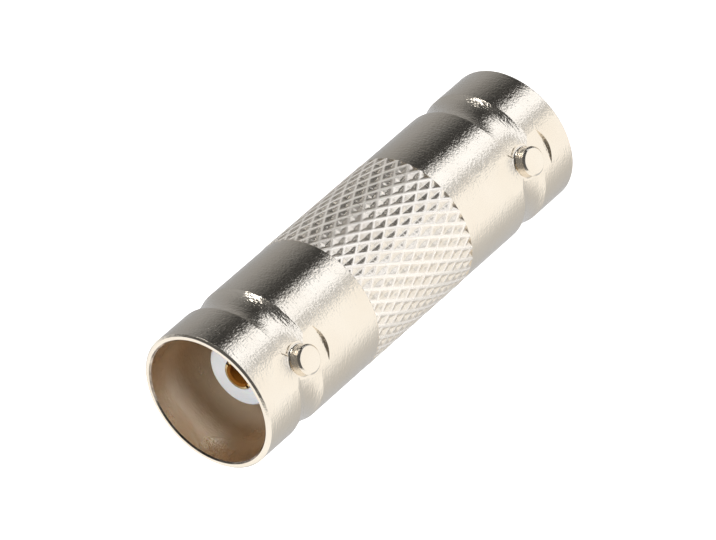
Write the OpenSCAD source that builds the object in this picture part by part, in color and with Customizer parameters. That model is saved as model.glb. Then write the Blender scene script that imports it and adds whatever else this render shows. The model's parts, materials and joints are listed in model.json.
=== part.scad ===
// Bayonet coaxial coupler, jack to jack, straight.
// Axis on Z. It stands on its far rim at z = 0 and the near mouth opens upward at z = overall_length.
// The two bayonet lugs at each end point along +X and -X. All lengths are in millimetres.

/* [Shell] */
// Length from rim to rim
overall_length = 31.9; // [28:0.1:45]
// Outside diameter of the smooth lands
land_diameter = 9.6; // [9:0.1:12]
// Bore of each open mouth
mouth_bore = 8.4; // [7.6:0.05:8.6]
// Depth of each mouth, from the rim to the web
mouth_depth = 8.4; // [6.5:0.1:10]
// Bore through the web, where the insulators are pressed in
web_bore = 6; // [5.2:0.1:7]
// Rounding of the outer edge of each rim
rim_round = 0.15; // [0.05:0.01:0.3]
// Radial width of the lead-in inside each rim
lead_in_width = 0.25; // [0.1:0.01:0.35]
// Depth of the lead-in inside each rim
lead_in_depth = 0.14; // [0.05:0.01:0.6]

/* [Bayonet lugs] */
// Distance from each rim to the centre line of its lugs
lug_setback = 4.22; // [3.5:0.01:5.5]
// Diameter of a lug
lug_diameter = 1.9; // [1.5:0.05:2.4]
// Distance across the ends of two opposite lugs
lug_span = 11; // [10.5:0.05:14]
// Edge break round the end of a lug
lug_edge = 0.13; // [0.02:0.01:0.2]
// Width of the relief groove that the lugs stand in
groove_width = 2.28; // [1.6:0.02:3]
// Depth of the relief groove at its middle
groove_depth = 0.2; // [0.1:0.01:0.3]
// Diameter of the flat milled round each lug
spot_diameter = 4.7; // [3.5:0.1:5.5]
// Depth of that flat below the land
spot_depth = 0.17; // [0.1:0.01:0.3]

/* [Knurl] */
// Length of the knurled band, centred between the rims
knurl_length = 9.8; // [5:0.1:12]
// Ridges of one hand round the band
knurl_teeth = 34; // [24:1:44]
// Angle between a ridge and the axis
knurl_angle = 30; // [25:1:40]
// Height of the knurl's crests above the lands
knurl_rise = 0.03; // [0.01:0.01:0.1]
// Depth of the pits between the ridges, below the crests
knurl_depth = 0.22; // [0.1:0.01:0.35]
// Width of the crest left on a ridge
ridge_width = 0.18; // [0.08:0.01:0.3]
// Turn of the pattern about the axis, measured from the lugs
knurl_turn = -1.6; // [-5:0.1:5]

/* [Insulators] */
// Depth of an insulator's front face below its rim
nose_recess = 3.2; // [2.5:0.1:5]
// Diameter of the nose that stands up in the mouth
nose_diameter = 4.5; // [3.8:0.1:5]
// Chamfer round the front of the nose
nose_edge = 0.1; // [0.05:0.01:0.3]
// Radial room for the contact's fingers inside the nose
finger_room = 0.09; // [0.05:0.01:0.2]

/* [Centre contact] */
// Depth of the contact's ends below the rims
contact_recess = 3.05; // [2.3:0.05:5]
// Outside diameter of the contact
contact_diameter = 1.94; // [1.7:0.02:2.4]
// Bore of each socket end
socket_bore = 1.36; // [1:0.02:1.5]
// Depth of each socket end
socket_depth = 5.4; // [4:0.1:7]
// Diameter of the countersink at a socket's mouth
socket_mouth = 1.62; // [1.4:0.02:1.9]
// Width of the two slots that part a socket's fingers
slot_width = 0.22; // [0.1:0.02:0.3]
// Length of those slots
slot_length = 4.4; // [3:0.1:5]
// Turn of the slots about the axis, measured from the lugs
slot_turn = 112; // [0:1:179]
// Diameter of the collar that the insulators trap
collar_diameter = 3; // [2.4:0.1:3.6]
// Length of that collar
collar_length = 2; // [1:0.1:4]

/* [Fits] */
// Radial clearance between the insulators and the web
insulator_clearance = 0.01; // [0.005:0.005:0.05]
// Clearance between the contact and the insulators
contact_clearance = 0.01; // [0.005:0.005:0.05]

/* [Hidden] */
$fn = 96;
land_r = land_diameter / 2;
mouth_r = mouth_bore / 2;
web_r = web_bore / 2;
flat_r = land_r - spot_depth;
lug_r = lug_diameter / 2;
lug_root = (mouth_r + min(flat_r, land_r - groove_depth)) / 2;
groove_r = (pow(groove_width / 2, 2) + pow(groove_depth, 2)) / (2 * groove_depth);
middle = overall_length / 2;
over = 1;

crest_r = land_r + knurl_rise;
knurl_start = (overall_length - knurl_length) / 2;
tooth_step = 360 / knurl_teeth;
tooth_pitch = 2 * PI * crest_r / knurl_teeth;
row_step = tooth_pitch / 2 / tan(knurl_angle);
pit_scale = 1 - ridge_width / (tooth_pitch * cos(knurl_angle));
pit_half_long = row_step * pit_scale;
pit_half_wide = tooth_pitch / 2 * pit_scale;
rows_each_way = floor((knurl_length / 2 - 0.25 * row_step) / row_step);
// a pit's walls run on above the crests by this much, and stop short of the next pit's
pit_rise = 0.8 * knurl_depth * (1 / pit_scale - 1);
pit_growth = (knurl_depth + pit_rise) / knurl_depth;
// the pits at the band's ends run into the lands by this much
pit_runout = 0.02;

nose_r = nose_diameter / 2;
body_r = web_r - insulator_clearance;
contact_r = contact_diameter / 2;
collar_r = collar_diameter / 2;
bore_r = contact_r + contact_clearance;
finger_r = contact_r + finger_room;
finger_end = contact_recess + slot_length;

// both rims, for a part drawn at the far rim
module at_each_end() {
    children();
    translate([0, 0, overall_length])
        mirror([0, 0, 1])
            children();
}

// the same for a half section, with the axis along Y
module at_each_end_of_section() {
    children();
    translate([0, overall_length])
        mirror([0, 1])
            children();
}

module outer_corner() {
    translate([land_r - rim_round, 0])
        difference() {
            translate([0, -over])
                square([rim_round + over, rim_round + over]);
            translate([0, rim_round])
                circle(rim_round);
            translate([-over, rim_round])
                square([over, over]);
        }
}

module mouth_section() {
    polygon([
        [0, -over],
        [mouth_r + lead_in_width, -over],
        [mouth_r + lead_in_width, 0],
        [mouth_r, lead_in_depth],
        [mouth_r, mouth_depth],
        [0, mouth_depth]
    ]);
}

// what is turned away outside the lands, up to the bevel at the knurl's end
module land_cut_section() {
    polygon([
        [land_r, -over],
        [crest_r + over, -over],
        [crest_r + over, knurl_start + knurl_rise + over],
        [land_r, knurl_start]
    ]);
}

module groove_section() {
    translate([land_r - groove_depth + groove_r, lug_setback])
        circle(groove_r);
}

module shell_section() {
    difference() {
        square([crest_r, overall_length]);
        translate([0, -over])
            square([web_r, overall_length + 2 * over]);
        at_each_end_of_section() {
            mouth_section();
            land_cut_section();
            groove_section();
            outer_corner();
        }
    }
}

// the lug stands on the flat and runs into the wall, in one piece with the shell
module lug() {
    translate([0, 0, lug_setback])
        rotate([0, 90, 0]) {
            translate([0, 0, lug_root])
                cylinder(r = lug_r, h = lug_span / 2 - lug_edge - lug_root);
            translate([0, 0, lug_span / 2 - lug_edge])
                cylinder(r1 = lug_r, r2 = lug_r - lug_edge, h = lug_edge);
        }
}

module spot_cut() {
    translate([flat_r, 0, lug_setback])
        rotate([0, 90, 0])
            cylinder(d = spot_diameter, h = land_r);
}

// One pit: a four-sided point that is stopped by the band's end when its reach is short.
// Local axes: X out of the crest, Y round the band, Z along it.
module pit(reach) {
    long = pit_half_long * pit_growth;
    wide = pit_half_wide * pit_growth;
    stop = min(reach, long);
    cut_wide = wide * (1 - stop / long);
    cut_deep = -knurl_depth + (knurl_depth + pit_rise) * stop / long;
    tip = [-knurl_depth, 0, 0];
    full = [
        [pit_rise, 0, -long],
        [pit_rise, wide, 0],
        [pit_rise, 0, long],
        [pit_rise, -wide, 0],
        tip
    ];
    stopped = [
        [pit_rise, 0, -long],
        [pit_rise, wide, 0],
        [pit_rise, cut_wide, stop],
        [pit_rise, -cut_wide, stop],
        [pit_rise, -wide, 0],
        tip,
        [cut_deep, 0, stop]
    ];
    if (reach < long)
        polyhedron(
            points = stopped,
            faces = [[0, 4, 3, 2, 1], [0, 1, 5], [1, 2, 6, 5], [2, 3, 6], [3, 4, 5, 6], [4, 0, 5]]
        );
    else
        polyhedron(
            points = full,
            faces = [[0, 3, 2, 1], [0, 1, 4], [1, 2, 4], [2, 3, 4], [3, 0, 4]]
        );
}

// rows of pits, each row half a tooth round from the last, so that the ridges between them cross
module knurl_pits() {
    translate([0, 0, middle])
        for (row = [-rows_each_way : rows_each_way])
            for (tooth = [0 : knurl_teeth - 1])
                rotate([0, 0, knurl_turn + (tooth + abs(row % 2) / 2) * tooth_step])
                    translate([crest_r, 0, row * row_step])
                        mirror([0, 0, row < 0 ? 1 : 0])
                            pit(knurl_length / 2 + pit_runout - abs(row) * row_step);
}

// the turned shell with its integral lugs and its diamond knurl
module shell() {
    color([0.86, 0.84, 0.79])
        difference() {
            union() {
                difference() {
                    rotate_extrude()
                        shell_section();
                    at_each_end()
                        for (side = [0, 180])
                            rotate([0, 0, side])
                                spot_cut();
                }
                at_each_end()
                    for (side = [0, 180])
                        rotate([0, 0, side])
                            lug();
            }
            knurl_pits();
        }
}

// half section of one insulator at the far end: nose, pressed body, contact bore and collar seat
module insulator_section() {
    collar_seat = middle - collar_length / 2 - contact_clearance;
    difference() {
        union() {
            polygon([
                [0, nose_recess],
                [nose_r - nose_edge, nose_recess],
                [nose_r, nose_recess + nose_edge],
                [nose_r, mouth_depth],
                [0, mouth_depth]
            ]);
            translate([0, mouth_depth])
                square([body_r, middle - mouth_depth]);
        }
        translate([0, -over])
            square([bore_r, middle + 2 * over]);
        translate([0, -over])
            square([finger_r, finger_end + over]);
        translate([0, collar_seat])
            square([collar_r + contact_clearance, middle]);
    }
}

module far_insulator() {
    color([0.93, 0.93, 0.95])
        rotate_extrude()
            insulator_section();
}

module near_insulator() {
    color([0.93, 0.93, 0.95])
        translate([0, 0, overall_length])
            mirror([0, 0, 1])
                rotate_extrude()
                    insulator_section();
}

module socket_section() {
    translate([0, contact_recess])
        polygon([
            [0, -over],
            [socket_mouth / 2, -over],
            [socket_mouth / 2, 0],
            [socket_bore / 2, (socket_mouth - socket_bore) / 2],
            [socket_bore / 2, socket_depth],
            [0, socket_depth]
        ]);
}

module contact_section() {
    difference() {
        union() {
            translate([0, contact_recess])
                square([contact_r, overall_length - 2 * contact_recess]);
            translate([0, middle - collar_length / 2])
                square([collar_r, collar_length]);
        }
        at_each_end_of_section()
            socket_section();
    }
}

module slot_cut() {
    rotate([0, 0, slot_turn])
        translate([-contact_diameter, -slot_width / 2, contact_recess - over])
            cube([2 * contact_diameter, slot_width, slot_length + over]);
}

// double-ended socket, slotted at both ends and held by its collar
module centre_contact() {
    color([0.85, 0.65, 0.3])
        difference() {
            rotate_extrude()
                contact_section();
            at_each_end()
                slot_cut();
        }
}

shell();
near_insulator();
far_insulator();
centre_contact();
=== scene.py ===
import json
from math import atan, ceil, cos, pi, radians, sin, tan

import bmesh
import bpy
from mathutils import Matrix, Vector


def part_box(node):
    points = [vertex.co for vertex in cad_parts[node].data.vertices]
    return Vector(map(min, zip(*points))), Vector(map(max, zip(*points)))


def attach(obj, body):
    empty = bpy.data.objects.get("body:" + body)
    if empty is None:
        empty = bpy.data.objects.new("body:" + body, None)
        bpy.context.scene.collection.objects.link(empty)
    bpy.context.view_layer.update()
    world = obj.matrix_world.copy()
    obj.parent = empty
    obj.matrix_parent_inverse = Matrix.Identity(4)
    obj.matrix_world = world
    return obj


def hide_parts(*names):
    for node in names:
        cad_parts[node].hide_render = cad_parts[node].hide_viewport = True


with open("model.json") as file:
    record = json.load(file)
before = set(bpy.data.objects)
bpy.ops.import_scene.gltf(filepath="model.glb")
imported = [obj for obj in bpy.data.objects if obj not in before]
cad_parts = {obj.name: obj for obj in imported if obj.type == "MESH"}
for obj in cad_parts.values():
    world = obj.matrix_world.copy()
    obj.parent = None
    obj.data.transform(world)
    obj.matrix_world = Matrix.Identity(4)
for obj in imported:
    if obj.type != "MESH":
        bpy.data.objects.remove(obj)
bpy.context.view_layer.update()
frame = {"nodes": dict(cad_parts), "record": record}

# The pieces are modelled in millimetres and brought to metres when they are done.
mm = 0.001
joinWithin = 0.0005  # points nearer than this are merged
margin = 0.001  # slack when faces are picked by their place

# sizes that the frame gives
mounts = {mount["name"]: mount for mount in frame["record"]["mounts"]}
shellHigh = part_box("shell")[1]
partLength = shellHigh.z / mm
lugReach = shellHigh.x / mm
crestRadius = shellHigh.y / mm
landRadius = mounts["near_land"]["dims"]["r_mm"]
middle = partLength / 2
print("frame: length %.2f mm, land radius %.2f mm" % (partLength, landRadius))


# small helpers for meshes

def arcPoints(centre, radius, fromAngle, toAngle, stepDegrees):
    steps = max(2, ceil(abs(toAngle - fromAngle) / stepDegrees))
    angles = [radians(fromAngle + (toAngle - fromAngle) * step / steps) for step in range(steps + 1)]
    return [(centre[0] + radius * cos(angle), centre[1] + radius * sin(angle)) for angle in angles]


def roundedPath(corners, stepDegrees=15):
    # corners are (radius, height, rounding); the first and last are plain ends
    path = [corners[0][:2]]
    for before, corner, after in zip(corners, corners[1:], corners[2:]):
        here = Vector(corner[:2])
        rounding = corner[2] if len(corner) > 2 else 0
        back = (Vector(before[:2]) - here).normalized()
        ahead = (Vector(after[:2]) - here).normalized()
        half = back.angle(ahead) / 2
        if rounding == 0:
            path.append(tuple(here))
            continue
        start = here + back * rounding / tan(half)
        end = here + ahead * rounding / tan(half)
        centre = here + (back + ahead).normalized() * rounding / sin(half)
        steps = max(2, ceil((180 - 2 * half * 180 / pi) / stepDegrees))
        for step in range(steps + 1):
            spoke = (start - centre).normalized().slerp((end - centre).normalized(), step / steps)
            path.append(tuple(centre + spoke * rounding))
    path.append(corners[-1][:2])
    return path


def turnedMesh(name, path, columns, turn=0.0):
    mesh = bpy.data.meshes.new(name)
    points = []
    for radius, height in path:
        for column in range(columns):
            angle = turn + 2 * pi * column / columns
            points.append((radius * cos(angle), radius * sin(angle), height))
    faces = []
    for ring in range(len(path) - 1):
        for column in range(columns):
            beside = (column + 1) % columns
            below, above = ring * columns, (ring + 1) * columns
            faces.append((below + column, below + beside, above + beside, above + column))
    mesh.from_pydata(points, [], faces)
    return mesh


def cleaned(mesh):
    work = bmesh.new()
    work.from_mesh(mesh)
    bmesh.ops.remove_doubles(work, verts=work.verts, dist=joinWithin)
    bmesh.ops.recalc_face_normals(work, faces=work.faces)
    work.to_mesh(mesh)
    work.free()
    return mesh


def addObject(name, mesh):
    piece = bpy.data.objects.new(name, mesh)
    bpy.context.scene.collection.objects.link(piece)
    return piece


def bakedMesh(piece):
    graph = bpy.context.evaluated_depsgraph_get()
    mesh = bpy.data.meshes.new_from_object(piece.evaluated_get(graph))
    piece.modifiers.clear()
    return mesh


def combined(piece, other, operation):
    change = piece.modifiers.new(operation.lower(), "BOOLEAN")
    change.operation = operation
    change.solver = "EXACT"
    change.object = other
    change.material_mode = "TRANSFER"
    piece.data = bakedMesh(piece)
    bpy.data.objects.remove(other)


# small helpers for node trees

def place(tree, kind, **settings):
    node = tree.nodes.new(kind)
    for key, value in settings.items():
        setattr(node, key, value)
    return node


def feed(tree, socket, value):
    if isinstance(value, bpy.types.NodeSocket):
        tree.links.new(value, socket)
    else:
        socket.default_value = value


def calc(tree, operation, *values):
    node = place(tree, "ShaderNodeMath", operation=operation)
    for socket, value in zip(node.inputs, values):
        feed(tree, socket, value)
    return node.outputs[0]


def remap(tree, value, low, high, toLow, toHigh, interpolation="LINEAR"):
    node = place(tree, "ShaderNodeMapRange", interpolation_type=interpolation)
    labels = ("Value", "From Min", "From Max", "To Min", "To Max")
    for label, given in zip(labels, (value, low, high, toLow, toHigh)):
        feed(tree, node.inputs[label], given)
    return node.outputs["Result"]


def blendColors(tree, share, first, second):
    node = place(tree, "ShaderNodeMix", data_type="RGBA")
    feed(tree, node.inputs["Factor"], share)
    feed(tree, node.inputs["A"], first)
    feed(tree, node.inputs["B"], second)
    return [socket for socket in node.outputs if socket.type == "RGBA"][0]


def partsOf(tree, vector):
    parts = place(tree, "ShaderNodeSeparateXYZ")
    tree.links.new(vector, parts.inputs["Vector"])
    return parts.outputs


# shader groups that several finishes share

noiseLook = {
    "grainDetail": 2.0,
    "grainRoughness": 0.6,
    "cloudDetail": 3.0,
    "markDetail": 2.0,
    "cloudRange": (0.3, 0.7),  # most of the clouds' values lie between these
}


def newGroup(name, inputs, outputs):
    tree = bpy.data.node_groups.new(name, "ShaderNodeTree")
    for label, kind, default in inputs:
        socket = tree.interface.new_socket(label, in_out="INPUT", socket_type=kind)
        if default is not None:
            socket.default_value = default
    for label, kind in outputs:
        tree.interface.new_socket(label, in_out="OUTPUT", socket_type=kind)
    return tree, place(tree, "NodeGroupInput"), place(tree, "NodeGroupOutput")


def makePlatingGrain():
    # fine pebbling of the plated surface, and slow clouds in its tone
    tree, given, result = newGroup(
        "platingGrain",
        [("Vector", "NodeSocketVector", None), ("Grain per metre", "NodeSocketFloat", 6000.0),
         ("Clouds per metre", "NodeSocketFloat", 400.0)],
        [("Height", "NodeSocketFloat"), ("Cloud", "NodeSocketFloat")],
    )
    grain = place(tree, "ShaderNodeTexNoise")
    grain.inputs["Detail"].default_value = noiseLook["grainDetail"]
    grain.inputs["Roughness"].default_value = noiseLook["grainRoughness"]
    clouds = place(tree, "ShaderNodeTexNoise")
    clouds.inputs["Detail"].default_value = noiseLook["cloudDetail"]
    for node, scale in ((grain, "Grain per metre"), (clouds, "Clouds per metre")):
        tree.links.new(given.outputs["Vector"], node.inputs["Vector"])
        tree.links.new(given.outputs[scale], node.inputs["Scale"])
    tree.links.new(grain.outputs["Fac"], result.inputs["Height"])
    tree.links.new(clouds.outputs["Fac"], result.inputs["Cloud"])
    return tree


def makeTurningMarks():
    # short streaks that run round the axis, left by the turning tool
    tree, given, result = newGroup(
        "turningMarks",
        [("Vector", "NodeSocketVector", None), ("Marks per metre", "NodeSocketFloat", 9000.0),
         ("Streak share", "NodeSocketFloat", 0.06)],
        [("Height", "NodeSocketFloat")],
    )
    parts = partsOf(tree, given.outputs["Vector"])
    fine = given.outputs["Marks per metre"]
    long = calc(tree, "MULTIPLY", fine, given.outputs["Streak share"])
    spread = place(tree, "ShaderNodeCombineXYZ")
    for axis, scale in (("X", long), ("Y", long), ("Z", fine)):
        feed(tree, spread.inputs[axis], calc(tree, "MULTIPLY", parts[axis], scale))
    marks = place(tree, "ShaderNodeTexNoise")
    marks.inputs["Scale"].default_value = 1.0
    marks.inputs["Detail"].default_value = noiseLook["markDetail"]
    tree.links.new(spread.outputs["Vector"], marks.inputs["Vector"])
    tree.links.new(marks.outputs["Fac"], result.inputs["Height"])
    return tree


platingGrain = makePlatingGrain()
turningMarks = makeTurningMarks()


# finishes

def newMaterial(name):
    material = bpy.data.materials.new(name)
    material.use_nodes = True
    tree = material.node_tree
    tree.nodes.clear()
    surface = place(tree, "ShaderNodeBsdfPrincipled")
    output = place(tree, "ShaderNodeOutputMaterial")
    tree.links.new(surface.outputs["BSDF"], output.inputs["Surface"])
    where = place(tree, "ShaderNodeTexCoord").outputs["Object"]
    return material, tree, surface, where


def useGroup(tree, group, where, **values):
    node = place(tree, "ShaderNodeGroup", node_tree=group)
    tree.links.new(where, node.inputs["Vector"])
    for label, value in values.items():
        node.inputs[label.replace("_", " ")].default_value = value
    return node


def overClouds(tree, grain, low, high):
    return remap(tree, grain.outputs["Cloud"], *noiseLook["cloudRange"], low, high)


def bumped(tree, surface, layers):
    # layers are (height, depth in millimetres), laid one on another
    normal = None
    for height, depth in layers:
        bump = place(tree, "ShaderNodeBump")
        bump.inputs["Strength"].default_value = 1.0
        bump.inputs["Distance"].default_value = depth * mm
        tree.links.new(height, bump.inputs["Height"])
        if normal is not None:
            tree.links.new(normal, bump.inputs["Normal"])
        normal = bump.outputs["Normal"]
    tree.links.new(normal, surface.inputs["Normal"])


def fromAxis(tree, where):
    parts = partsOf(tree, where)
    squares = [calc(tree, "MULTIPLY", parts[axis], parts[axis]) for axis in "XY"]
    return calc(tree, "SQRT", calc(tree, "ADD", *squares))


def makeNickel(name, finish):
    material, tree, surface, where = newMaterial(name)
    grain = useGroup(
        tree, platingGrain, where, Grain_per_metre=finish["grain"], Clouds_per_metre=finish["clouds"],
    )
    marks = useGroup(
        tree, turningMarks, where, Marks_per_metre=finish["marks"], Streak_share=finish["streakShare"],
    )
    tone = overClouds(tree, grain, 0.0, 1.0)
    color = blendColors(tree, tone, finish["color"], finish["warmer"])
    metallic = finish["metallic"]
    if "paintedDepthMetallic" in finish:
        # the metallic share falls with depth, so the bores show darker near the rims and paler deep inside:
        # painted light for how light falls in the bores
        height = partsOf(tree, where)["Z"]
        fromMiddle = calc(tree, "ABSOLUTE", calc(tree, "SUBTRACT", height, middle * mm))
        shallow, deep = [(middle - depth) * mm for depth in finish["paintedDepthBetween"]]
        metallic = remap(tree, fromMiddle, deep, shallow, finish["paintedDepthMetallic"], finish["metallic"])
    if "crests" in finish:
        # crests are rubbed dull, and the pits between them keep their shine; the colour is painted lighter
        # on the crests as a highlight and darker in the pits as shade
        bottom, top = [radius * mm for radius in finish["crests"]]
        rubbedAndHighlit = remap(tree, fromAxis(tree, where), bottom, top, 0.0, 1.0, "SMOOTHSTEP")
        metallic = remap(tree, rubbedAndHighlit, 0.0, 1.0, finish["metallic"], finish["crestMetallic"])
        # painted highlight on the crests and painted shade in the pits
        color = blendColors(tree, rubbedAndHighlit, color, finish["crestHighlightColor"])
    feed(tree, surface.inputs["Base Color"], color)
    feed(tree, surface.inputs["Roughness"], overClouds(tree, grain, *finish["roughness"]))
    feed(tree, surface.inputs["Metallic"], metallic)
    bumped(tree, surface, [
        (marks.outputs["Height"], finish["markDepth"]),
        (grain.outputs["Height"], finish["grainDepth"]),
    ])
    return material


# grain, clouds and marks are counts per metre, depths are in millimetres
nickelFinish = {
    "color": (0.93, 0.85, 0.73, 1),
    "warmer": (0.91, 0.82, 0.69, 1),
    "metallic": 1.0,
    "roughness": (0.14, 0.19),
    "clouds": 400.0,
    "grain": 7500.0,
    "grainDepth": 0.017,
    "marks": 7000.0,
    "streakShare": 0.3,
    "markDepth": 0.022,
}
boreFinish = dict(
    nickelFinish, color=(0.90, 0.75, 0.57, 1), warmer=(0.86, 0.70, 0.52, 1), roughness=(0.26, 0.34),
    # the metallic share falls with depth below the rim: painted light, paler deep in the bores and darker
    # near the rims
    metallic=0.98, paintedDepthMetallic=0.36,
    paintedDepthBetween=(3.0, 6.6),  # depths below the rim
)
# painted shade: the lead-in ring just inside the rim is coloured dark brown, mottled by clouds, where shade
# falls inside the mouth
leadInShadeFinish = dict(
    nickelFinish, color=(0.18, 0.14, 0.11, 1), warmer=(0.66, 0.57, 0.47, 1), clouds=1500.0,
)
milledFinish = dict(nickelFinish, markDepth=0.008)
lugFinish = dict(milledFinish, metallic=0.86, roughness=(0.20, 0.27))
# the knurl's colours are a little darker than the nickel's, painted shade down in the pits; its crests are
# painted lighter
knurlFinish = dict(
    nickelFinish, color=(0.88, 0.81, 0.71, 1), warmer=(0.85, 0.77, 0.66, 1),
    metallic=0.93, roughness=(0.23, 0.29), markDepth=0.0, grainDepth=0.006,
    crests=(crestRadius - 0.05, crestRadius - 0.008),  # radii between which the rubbing and the painted lighter crest colour fade in
    crestMetallic=0.52, crestHighlightColor=(0.93, 0.87, 0.79, 1),
)
nickel = makeNickel("nickel", nickelFinish)
boreNickel = makeNickel("boreNickel", boreFinish)
leadInShadeNickel = makeNickel("leadInShadeNickel", leadInShadeFinish)
milledNickel = makeNickel("milledNickel", milledFinish)
lugNickel = makeNickel("lugNickel", lugFinish)
knurlNickel = makeNickel("knurlNickel", knurlFinish)


def makeGold():
    # the socket's hole is painted a darker, duller orange gold than its rim, painted shade in the hole
    finish = {
        "color": (0.98, 0.76, 0.42, 1),
        "deeper": (0.93, 0.68, 0.33, 1),
        "inside": (0.40, 0.155, 0.02, 1),
        "insideRadius": 0.83,
        "insideFade": 0.01,
        "roughness": (0.16, 0.24),
        "insideRoughness": 0.6,
        "insideMetallic": 0.55,
        "grain": 9000.0,
        "clouds": 900.0,
        "marks": 12000.0,
        "markDepth": 0.0012,
        "grainDepth": 0.002,
    }
    material, tree, surface, where = newMaterial("gold")
    grain = useGroup(
        tree, platingGrain, where, Grain_per_metre=finish["grain"], Clouds_per_metre=finish["clouds"],
    )
    marks = useGroup(tree, turningMarks, where, Marks_per_metre=finish["marks"])
    edge, fade = finish["insideRadius"] * mm, finish["insideFade"] * mm
    # painted shade: inside the socket's hole the gold is darker, rougher and less metallic
    inside = remap(tree, fromAxis(tree, where), edge - fade, edge + fade, 1.0, 0.0)
    outside = blendColors(tree, overClouds(tree, grain, 0.0, 1.0), finish["color"], finish["deeper"])
    feed(tree, surface.inputs["Base Color"], blendColors(tree, inside, outside, finish["inside"]))
    roughness = overClouds(tree, grain, *finish["roughness"])
    dull = calc(tree, "MULTIPLY", inside, finish["insideRoughness"])
    feed(tree, surface.inputs["Roughness"], calc(tree, "MAXIMUM", roughness, dull))
    metallic = remap(tree, inside, 0.0, 1.0, 1.0, finish["insideMetallic"])
    feed(tree, surface.inputs["Metallic"], metallic)
    bumped(tree, surface, [
        (marks.outputs["Height"], finish["markDepth"]),
        (grain.outputs["Height"], finish["grainDepth"]),
    ])
    return material


def makeWhitePlastic():
    finish = {
        "color": (0.84, 0.85, 0.88, 1),
        "duller": (0.80, 0.81, 0.84, 1),
        "roughness": (0.36, 0.48),
        "glowThrough": 0.15,
        "glowReach": 0.4,
        "rings": 1900.0,
        "ringDepth": 0.006,
        "grain": 7000.0,
        "clouds": 700.0,
        "marks": 7000.0,
        "markDepth": 0.002,
        "grainDepth": 0.002,
    }
    material, tree, surface, where = newMaterial("whitePlastic")
    grain = useGroup(
        tree, platingGrain, where, Grain_per_metre=finish["grain"], Clouds_per_metre=finish["clouds"],
    )
    marks = useGroup(tree, turningMarks, where, Marks_per_metre=finish["marks"])
    color = blendColors(tree, overClouds(tree, grain, 0.0, 1.0), finish["color"], finish["duller"])
    feed(tree, surface.inputs["Base Color"], color)
    feed(tree, surface.inputs["Roughness"], overClouds(tree, grain, *finish["roughness"]))
    surface.inputs["Subsurface Weight"].default_value = finish["glowThrough"]
    surface.inputs["Subsurface Scale"].default_value = finish["glowReach"] * mm
    # rings that the tool left on the flat face
    rings = place(tree, "ShaderNodeTexWave", wave_type="RINGS", rings_direction="Z")
    rings.inputs["Scale"].default_value = finish["rings"]
    tree.links.new(where, rings.inputs["Vector"])
    bumped(tree, surface, [
        (rings.outputs["Fac"], finish["ringDepth"]),
        (marks.outputs["Height"], finish["markDepth"]),
        (grain.outputs["Height"], finish["grainDepth"]),
    ])
    return material


gold = makeGold()
whitePlastic = makeWhitePlastic()
print("finishes made")


# knurled band: ridges of both hands that cross, with four-sided pits between them

knurl = {
    "teeth": 34,
    "stepsPerTooth": 12,
    "rowsPerTooth": 20,
    "ridgeAngle": 30.0,
    "bandLength": 9.8,
    "depth": 0.195,
    "softness": 0.22,  # rounding of the crests
    "crossLower": 0.07,  # share of the depth by which one hand lies lower than the other
    "turn": 1.05,  # degrees, with rowsDown the place of the pattern on the band
    "rowsDown": 3,
}
knurlEnd = middle + knurl["bandLength"] / 2
columns = knurl["teeth"] * knurl["stepsPerTooth"]


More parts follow.
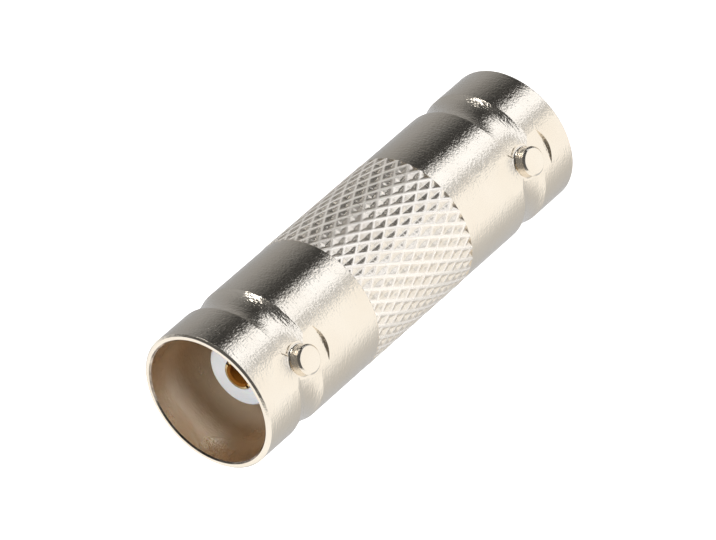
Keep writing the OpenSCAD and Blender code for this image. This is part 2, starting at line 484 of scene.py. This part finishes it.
def makeKnurlTree():
    tree = bpy.data.node_groups.new("diamondKnurl", "GeometryNodeTree")
    sizes = ("Crest radius", "Land radius", "Middle height", "Band length", "Teeth", "Steps per tooth",
             "Rows per tooth", "Ridge angle", "Depth", "Softness", "Cross lower", "Turn", "Rows down")
    for label in sizes:
        tree.interface.new_socket(label, in_out="INPUT", socket_type="NodeSocketFloat")
    tree.interface.new_socket("Finish", in_out="INPUT", socket_type="NodeSocketMaterial")
    tree.interface.new_socket("Geometry", in_out="OUTPUT", socket_type="NodeSocketGeometry")
    given = place(tree, "NodeGroupInput").outputs
    result = place(tree, "NodeGroupOutput")

    def reckon(operation, *values):
        return calc(tree, operation, *values)

    def fall(away):
        # from a ridge's rounded crest down a flank that soon runs straight
        soft = given["Softness"]
        slant = reckon("SQRT", reckon("MULTIPLY_ADD", away, away, reckon("MULTIPLY", soft, soft)))
        return reckon("SUBTRACT", slant, soft)

    # sizes of the pattern
    pitch = reckon("DIVIDE", reckon("MULTIPLY", given["Crest radius"], 2 * pi), given["Teeth"])
    slope = reckon("RADIANS", given["Ridge angle"])
    rowStep = reckon("DIVIDE", reckon("DIVIDE", pitch, 2.0), reckon("TANGENT", slope))
    diamond = reckon("MULTIPLY", rowStep, 2.0)
    gridStep = reckon("DIVIDE", diamond, given["Rows per tooth"])
    halfBand = reckon("DIVIDE", given["Band length"], 2.0)
    halfRows = reckon("CEIL", reckon("DIVIDE", halfBand, gridStep))
    allRows = reckon("ADD", reckon("MULTIPLY", halfRows, 2.0), 3.0)

    # a flat grid, one row beyond the pattern at each end for the wall down from the land
    steps = reckon("MULTIPLY", given["Teeth"], given["Steps per tooth"])
    grid = place(tree, "GeometryNodeMeshGrid")
    grid.inputs["Size X"].default_value = 1.0
    grid.inputs["Size Y"].default_value = 1.0
    feed(tree, grid.inputs["Vertices X"], reckon("ADD", steps, 1.0))
    feed(tree, grid.inputs["Vertices Y"], allRows)
    flat = partsOf(tree, place(tree, "GeometryNodeInputPosition").outputs[0])
    shareRound = reckon("ADD", flat["X"], 0.5)
    row = reckon("ROUND", reckon("MULTIPLY", flat["Y"], reckon("SUBTRACT", allRows, 1.0)))
    along = reckon("MINIMUM", reckon("MULTIPLY", row, gridStep), halfBand)
    along = reckon("MAXIMUM", along, reckon("MULTIPLY", halfBand, -1.0))

    # how far each point lies below the crests: the ridge that stands higher there counts
    tooth = reckon("MULTIPLY", shareRound, given["Teeth"])
    lowered = reckon("ADD", along, reckon("MULTIPLY", given["Rows down"], gridStep))
    drift = reckon("DIVIDE", lowered, diamond)
    falls = []
    for operation in ("SUBTRACT", "ADD"):
        phase = reckon("ADD", reckon(operation, tooth, drift), 0.5)
        away = reckon("MULTIPLY", reckon("SUBTRACT", phase, reckon("ROUND", phase)), 2.0)
        falls.append(fall(away))
    low = reckon("MINIMUM", falls[0], reckon("ADD", falls[1], given["Cross lower"]))
    radius = reckon("SUBTRACT", given["Crest radius"], reckon("MULTIPLY", low, given["Depth"]))
    atEnd = reckon("GREATER_THAN", reckon("ABSOLUTE", row), reckon("ADD", halfRows, 0.5))
    onBand = reckon("MULTIPLY", radius, reckon("SUBTRACT", 1.0, atEnd))
    onLand = reckon("MULTIPLY", given["Land radius"], atEnd)
    radius = reckon("ADD", onBand, onLand)

    # wrap the grid round the axis
    angle = reckon("ADD", reckon("MULTIPLY", shareRound, 2 * pi), reckon("RADIANS", given["Turn"]))
    wrapped = place(tree, "ShaderNodeCombineXYZ")
    feed(tree, wrapped.inputs["X"], reckon("MULTIPLY", radius, reckon("COSINE", angle)))
    feed(tree, wrapped.inputs["Y"], reckon("MULTIPLY", radius, reckon("SINE", angle)))
    feed(tree, wrapped.inputs["Z"], reckon("ADD", along, given["Middle height"]))
    move = place(tree, "GeometryNodeSetPosition")
    tree.links.new(grid.outputs["Mesh"], move.inputs["Geometry"])
    tree.links.new(wrapped.outputs[0], move.inputs["Position"])
    close = place(tree, "GeometryNodeMergeByDistance")
    close.inputs["Distance"].default_value = joinWithin
    real = place(tree, "GeometryNodeRealizeInstances")
    finish = place(tree, "GeometryNodeSetMaterial")
    tree.links.new(move.outputs[0], close.inputs["Geometry"])
    tree.links.new(close.outputs[0], real.inputs["Geometry"])
    tree.links.new(real.outputs[0], finish.inputs["Geometry"])
    tree.links.new(given["Finish"], finish.inputs["Material"])
    tree.links.new(finish.outputs[0], result.inputs["Geometry"])
    return tree


def makeKnurlBand():
    band = addObject("knurl_band", bpy.data.meshes.new("knurl_band"))
    maker = band.modifiers.new("diamondKnurl", "NODES")
    maker.node_group = makeKnurlTree()
    values = {
        "Crest radius": crestRadius,
        "Land radius": landRadius,
        "Middle height": middle,
        "Band length": knurl["bandLength"],
        "Teeth": float(knurl["teeth"]),
        "Steps per tooth": float(knurl["stepsPerTooth"]),
        "Rows per tooth": float(knurl["rowsPerTooth"]),
        "Ridge angle": knurl["ridgeAngle"],
        "Depth": knurl["depth"],
        "Softness": knurl["softness"],
        "Cross lower": knurl["crossLower"],
        "Turn": knurl["turn"],
        "Rows down": float(knurl["rowsDown"]),
        "Finish": knurlNickel,
    }
    for socket in maker.node_group.interface.items_tree:
        if socket.in_out == "INPUT":
            maker[socket.identifier] = values[socket.name]
    band.data = bakedMesh(band)
    return band


# turned shell: rims, mouths, web and relief grooves

turned = {
    "mouthRadius": 4.2,
    "mouthDepth": 8.4,
    "mouthFloorRound": 0.1,
    "webRadius": 3.0,
    "webRound": 0.08,
    "rimBreak": 0.13,  # small flat break on the rim's outer edge
    "rimRound": 0.04,
    "rimInnerRound": 0.03,
    "leadInWidth": 0.25,
    "leadInBreak": 0.10,
    "leadInDepth": 1.2,
    "leadInRound": 0.8,
    "leadInShadeSpread": 0.01,  # how far its painted shade reaches over the edge of the rim
    "lugSetback": 4.22,
    "grooveWidth": 2.36,
    "grooveDepth": 0.2,
    "grooveEdge": 0.35,
    "grooveStep": 5,  # degrees for each step of its arcs
    "sharpFrom": 38,  # degrees from which an edge is shaded sharp
}


def groovePath(height):
    # soft edge, hollow and soft edge, going up, each running smoothly into the next
    half = turned["grooveWidth"] / 2
    lean = 2 * atan(turned["grooveDepth"] / half)
    hollow = half / sin(lean) - turned["grooveEdge"]
    bend = lean * 180 / pi
    edge, step = turned["grooveEdge"], turned["grooveStep"]
    middleOfHollow = (landRadius - turned["grooveDepth"] + hollow, height)
    path = arcPoints((landRadius - edge, height - half), edge, 0, bend, step)
    path += arcPoints(middleOfHollow, hollow, 180 + bend, 180 - bend, step)[1:-1]
    path += arcPoints((landRadius - edge, height + half), edge, -bend, 0, step)
    return path


def shellPath():
    # from the knurl's upper end over the near rim, down the bores and round the far rim to its lower end
    mouth, web = turned["mouthRadius"], turned["webRadius"]
    lead, cut = mouth + turned["leadInWidth"], turned["leadInBreak"]
    floor = partLength - turned["mouthDepth"]
    lugHeight = partLength - turned["lugSetback"]
    rim = roundedPath([
        (landRadius, lugHeight),
        (landRadius, partLength - turned["rimBreak"], turned["rimRound"]),
        (landRadius - turned["rimBreak"], partLength, turned["rimRound"]),
        (lead, partLength, turned["rimInnerRound"]),
        (lead - cut, partLength - cut),
        (mouth, partLength - turned["leadInDepth"], turned["leadInRound"]),
        (mouth, floor, turned["mouthFloorRound"]),
        (web, floor, turned["webRound"]),
        (web, middle),
    ])
    upper = [(landRadius, knurlEnd)] + groovePath(lugHeight) + rim[1:]
    lower = [(radius, partLength - height) for radius, height in reversed(upper[:-1])]
    return upper + lower


def makeTurnedShell():
    finishes = (nickel, boreNickel, knurlNickel, leadInShadeNickel)
    boreSlot, knurlSlot, leadInShadeSlot = 1, 2, 3
    mesh = turnedMesh("shell_plated", shellPath(), columns, radians(knurl["turn"]))
    for finish in finishes:
        mesh.materials.append(finish)
    leadInEdge = turned["mouthRadius"] + turned["leadInWidth"] + turned["leadInShadeSpread"]
    boreEdge = leadInEdge - turned["leadInBreak"]
    for face in mesh.polygons:
        reach = max(Vector(mesh.vertices[point].co[:2]).length for point in face.vertices)
        if reach < boreEdge:
            face.material_index = boreSlot
        # faces of the lead-in take the dark painted shade
        elif reach < leadInEdge:
            face.material_index = leadInShadeSlot
    band = makeKnurlBand()
    joined = bmesh.new()
    joined.from_mesh(mesh)
    joined.from_mesh(band.data)
    joined.faces.ensure_lookup_table()
    for face in joined.faces[len(mesh.polygons):]:
        face.material_index = knurlSlot
    joined.to_mesh(mesh)
    joined.free()
    bpy.data.objects.remove(band)
    return addObject("shell_plated", cleaned(mesh))


# milled flats and the lugs that stand on them

lugs = {
    "radius": 0.95,
    "edge": 0.13,
    "edgeRound": 0.04,
    "root": 4.4,
    "footLevel": 4.59,
    "footRound": 0.18,
    "footSpread": 0.05,
    "columns": 96,
    "flatLevel": 4.63,
    "flatRadius": 2.35,
    "flatColumns": 128,
    "cutterTop": 6.5,
}


def makeCutter():
    # cuts one flat; levels are distances from the shell's axis
    flat, radius, top = lugs["flatLevel"], lugs["flatRadius"], lugs["cutterTop"]
    cutter = turnedMesh("cutter", [(0, flat), (radius, flat), (radius, top), (0, top)], lugs["flatColumns"])
    cutter.materials.append(milledNickel)
    return cutter


def makeLug():
    foot = lugs["radius"] + lugs["footRound"] + lugs["footSpread"]
    lug = turnedMesh("lug", roundedPath([
        (0, lugs["root"]),
        (foot, lugs["root"]),
        (foot, lugs["footLevel"]),
        (lugs["radius"], lugs["footLevel"], lugs["footRound"]),
        (lugs["radius"], lugReach - lugs["edge"], lugs["edgeRound"]),
        (lugs["radius"] - lugs["edge"], lugReach, lugs["edgeRound"]),
        (0, lugReach),
    ]), lugs["columns"])
    lug.materials.append(milledNickel)
    lug.materials.append(lugNickel)
    sideSlot = 1
    sideRadius = lugs["radius"] - margin
    sideFoot = lugs["footLevel"] + lugs["footRound"] + margin
    for face in lug.polygons:
        points = [lug.vertices[point].co for point in face.vertices]
        onSide = all(Vector(point[:2]).length > sideRadius for point in points)
        if onSide and max(point.z for point in points) > sideFoot:
            face.material_index = sideSlot
    return lug


def alongX(mesh, side, height):
    # a shape turned about Z is laid along X, at one of the four lugs
    laid = Matrix.Rotation(side, 4, "Z") @ Matrix.Rotation(pi / 2, 4, "Y")
    mesh.transform(Matrix.Translation((0, 0, height)) @ laid)
    return mesh


def makeShell():
    shell = makeTurnedShell()
    for height in (turned["lugSetback"], partLength - turned["lugSetback"]):
        for side in (0, pi):
            cutter = cleaned(alongX(makeCutter(), side, height))
            combined(shell, addObject("cutter", cutter), "DIFFERENCE")
            lug = cleaned(alongX(makeLug(), side, height))
            combined(shell, addObject("lug", lug), "UNION")
    return shell


def smoothed(mesh, sharpFrom):
    # smooth faces, sharp edges where the surface turns hard or where one finish meets another
    mesh.polygons.foreach_set("use_smooth", [True] * len(mesh.polygons))
    mesh.set_sharp_from_angle(angle=radians(sharpFrom))
    work = bmesh.new()
    work.from_mesh(mesh)
    for edge in work.edges:
        if len({face.material_index for face in edge.link_faces}) > 1:
            edge.smooth = False
    work.to_mesh(mesh)
    work.free()


shell = makeShell()
smoothed(shell.data, turned["sharpFrom"])
shell.data.transform(Matrix.Scale(mm, 4))
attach(shell, "root")
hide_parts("shell")
shell.data.calc_loop_triangles()
print("shell: %d triangles" % len(shell.data.loop_triangles))


# insulators and contact keep their own solids and get their finish

ownFinish = {
    "near_insulator": whitePlastic,
    "far_insulator": whitePlastic,
    "centre_contact": gold,
}
for node, finish in ownFinish.items():
    own = frame["nodes"][node].data
    own.materials.clear()
    own.materials.append(finish)
print("insulators and contact finished")


# stage: white floor, a tent of pale and dark panels, soft lamps

cameraPlace = {
    "azimuth": 23.05,
    "elevation": 37.90,
    "distance": 379.1,
    "aimHeight": 16.52,
    "axisLean": -131.23,  # degrees from upright in the picture
    "lens": 307.46,
    "sensor": 36,
    "clip": (10, 20000),
}

# The side panels are (angle from the camera's own azimuth in degrees, level, share of the cool tint).
# Overhead the tent is pale on one half and dark on the other.
# The rises and leanFrom are on a direction's upward part, from -1 straight down to 1 straight up.
tent = {
    "panels": [
        (-180, 0.66, 0.6), (-150, 0.54, 0.4), (-130, 0.56, 0.3), (-112, 0.57, 0.0), (-97, 0.66, 0.0),
        (-88, 0.82, 0.0), (-80, 1.06, 0.0), (-13, 1.07, 0.0), (-5, 0.48, 0.5), (3, 0.50, 0.5),
        (9, 1.13, 1.0), (39, 1.15, 1.0), (44, 0.09, 0.2), (52, 0.04, 0.2), (66, 0.04, 0.5),
        (80, 0.13, 0.3), (110, 0.30, 0.3), (150, 0.39, 0.6), (180, 0.66, 0.6),
    ],
    "coolTint": (1.0, 1.04, 1.12),
    "overhead": (1.05, 0.10),  # levels of the pale and the dark half
    "paleRise": (-0.50, 0.25),
    "darkRise": (0.15, 0.55),
    "darkHalf": 58.0,  # degrees, where the dark half is centred
    "darkEdge": (-0.30, 0.0),
    "leanFrom": -0.52,
    "lean": 45.0,  # degrees by which the panels turn between there and the level
    "below": 0.42,
    "belowRise": (-1.0, -0.95),
    "lampAngle": 68.0,
    "lampRise": -3.0,
    "lampSize": 8.0,
    "lampCore": 0.7,  # share of the lamp that has its full level
    "lampLevel": 8.0,
}


def grey(level):
    return (level, level, level, 1)


def makeSidePanels(tree, way):
    turn = calc(tree, "ARCTAN2", way["Y"], way["X"])
    lean = remap(tree, way["Z"], tent["leanFrom"], 0.0, 0.0, radians(tent["lean"]))
    fromCamera = calc(tree, "ADD", calc(tree, "SUBTRACT", turn, radians(cameraPlace["azimuth"])), lean)
    share = calc(tree, "FRACT", calc(tree, "ADD", calc(tree, "DIVIDE", fromCamera, 2 * pi), 0.5))
    ramp = place(tree, "ShaderNodeValToRGB")
    ramp.color_ramp.interpolation = "LINEAR"
    stops = ramp.color_ramp.elements
    while len(stops) < len(tent["panels"]):
        stops.new(0.5)
    for stop, (angle, level, cool) in zip(stops, tent["panels"]):
        stop.position = (angle + 180) / 360
        stop.color = tuple(level * (1 + cool * (part - 1)) for part in tent["coolTint"]) + (1,)
    tree.links.new(share, ramp.inputs["Fac"])
    return ramp.outputs["Color"]


def addOverhead(tree, way, around):
    facing = radians(tent["darkHalf"])
    toDark = calc(tree, "MULTIPLY", way["X"], cos(facing))
    toDark = calc(tree, "MULTIPLY_ADD", way["Y"], sin(facing), toDark)
    dark = remap(tree, toDark, *tent["darkEdge"], 0.0, 1.0, "SMOOTHSTEP")
    pale, dim = [grey(level) for level in tent["overhead"]]
    overhead = blendColors(tree, dark, pale, dim)
    paleUp = remap(tree, way["Z"], *tent["paleRise"], 0.0, 1.0, "SMOOTHSTEP")
    darkUp = remap(tree, way["Z"], *tent["darkRise"], 0.0, 1.0, "SMOOTHSTEP")
    up = remap(tree, dark, 0.0, 1.0, paleUp, darkUp)
    return blendColors(tree, up, around, overhead)


def addGlint(tree, direction, around):
    # a small bright lamp that glints in the grooves
    turn, rise = radians(cameraPlace["azimuth"] + tent["lampAngle"]), radians(tent["lampRise"])
    towards = place(tree, "ShaderNodeVectorMath", operation="DOT_PRODUCT")
    tree.links.new(direction, towards.inputs[0])
    towards.inputs[1].default_value = (cos(turn) * cos(rise), sin(turn) * cos(rise), sin(rise))
    edge = cos(radians(tent["lampSize"]))
    core = cos(radians(tent["lampSize"] * tent["lampCore"]))
    lit = remap(tree, towards.outputs["Value"], edge, core, 0.0, 1.0, "SMOOTHSTEP")
    return blendColors(tree, lit, around, grey(tent["lampLevel"]))


def makeWorld():
    world = bpy.data.worlds.new("tent")
    bpy.context.scene.world = world
    world.use_nodes = True
    tree = world.node_tree
    tree.nodes.clear()
    direction = place(tree, "ShaderNodeTexCoord").outputs["Generated"]
    way = partsOf(tree, direction)
    under = remap(tree, way["Z"], *tent["belowRise"], 1.0, 0.0, "SMOOTHSTEP")
    around = blendColors(tree, under, makeSidePanels(tree, way), grey(tent["below"]))
    around = addOverhead(tree, way, around)
    around = addGlint(tree, direction, around)
    # the camera itself sees plain white
    seen = place(tree, "ShaderNodeLightPath").outputs["Is Camera Ray"]
    shown = blendColors(tree, seen, around, grey(1))
    light = place(tree, "ShaderNodeBackground")
    tree.links.new(shown, light.inputs["Color"])
    output = place(tree, "ShaderNodeOutputWorld")
    tree.links.new(light.outputs["Background"], output.inputs["Surface"])


floorLook = {
    "halfSize": 2000,
    "paint": 0.8,
    "glow": 0.72,  # lifts the floor to white where the camera sees it
}


def makeFloor():
    size = floorLook["halfSize"] * mm
    corners = [(-size, -size, 0), (size, -size, 0), (size, size, 0), (-size, size, 0)]
    mesh = bpy.data.meshes.new("floor")
    mesh.from_pydata(corners, [], [(0, 1, 2, 3)])
    floor = addObject("floor", mesh)
    floor.visible_glossy = False
    material = bpy.data.materials.new("floorWhite")
    material.use_nodes = True
    tree = material.node_tree
    tree.nodes.clear()
    paint = place(tree, "ShaderNodeBsdfDiffuse")
    paint.inputs["Color"].default_value = grey(floorLook["paint"])
    glow = place(tree, "ShaderNodeEmission")
    seen = place(tree, "ShaderNodeLightPath").outputs["Is Camera Ray"]
    feed(tree, glow.inputs["Strength"], calc(tree, "MULTIPLY", seen, floorLook["glow"]))
    both = place(tree, "ShaderNodeAddShader")
    tree.links.new(paint.outputs[0], both.inputs[0])
    tree.links.new(glow.outputs[0], both.inputs[1])
    output = place(tree, "ShaderNodeOutputMaterial")
    tree.links.new(both.outputs[0], output.inputs["Surface"])
    mesh.materials.append(material)


# soft lamps for the plastic and the floor's shadow; the metal shows the tent
lamps = {
    "keyLamp": {"place": (170, 273, 383), "size": 250, "power": 1.7},
    "rightLamp": {"place": (300, -250, 90), "size": 250, "power": 0.7},
    "leftLamp": {"place": (-200, 346, 70), "size": 250, "power": 0.5},
}


def makeLamps():
    aim = Vector((0, 0, middle * mm))
    for name, lamp in lamps.items():
        light = bpy.data.lights.new(name, "AREA")
        light.shape = "DISK"
        light.size = lamp["size"] * mm
        light.energy = lamp["power"]
        holder = addObject(name, light)
        holder.location = Vector(lamp["place"]) * mm
        holder.rotation_euler = (holder.location - aim).to_track_quat("Z", "Y").to_euler()
        holder.visible_glossy = False


def makeCamera():
    lens = bpy.data.cameras.new("camera")
    lens.sensor_fit = "HORIZONTAL"
    lens.sensor_width = cameraPlace["sensor"]
    lens.lens = cameraPlace["lens"]
    lens.clip_start, lens.clip_end = [distance * mm for distance in cameraPlace["clip"]]
    camera = addObject("camera", lens)
    turn, rise = radians(cameraPlace["azimuth"]), radians(cameraPlace["elevation"])
    back = Vector((cos(turn) * cos(rise), sin(turn) * cos(rise), sin(rise)))
    aim = Vector((0, 0, cameraPlace["aimHeight"]))
    level = back.to_track_quat("Z", "Y").to_matrix().to_4x4()
    # to_track_quat holds the axis upright in the picture, and the lean turns it from there
    lean = Matrix.Rotation(radians(cameraPlace["axisLean"]), 4, "Z")
    camera.matrix_world = Matrix.Translation((aim + back * cameraPlace["distance"]) * mm) @ level @ lean
    bpy.context.scene.camera = camera


makeWorld()
makeFloor()
makeLamps()
makeCamera()
bpy.context.scene.view_settings.view_transform = "Standard"
print("stage set")
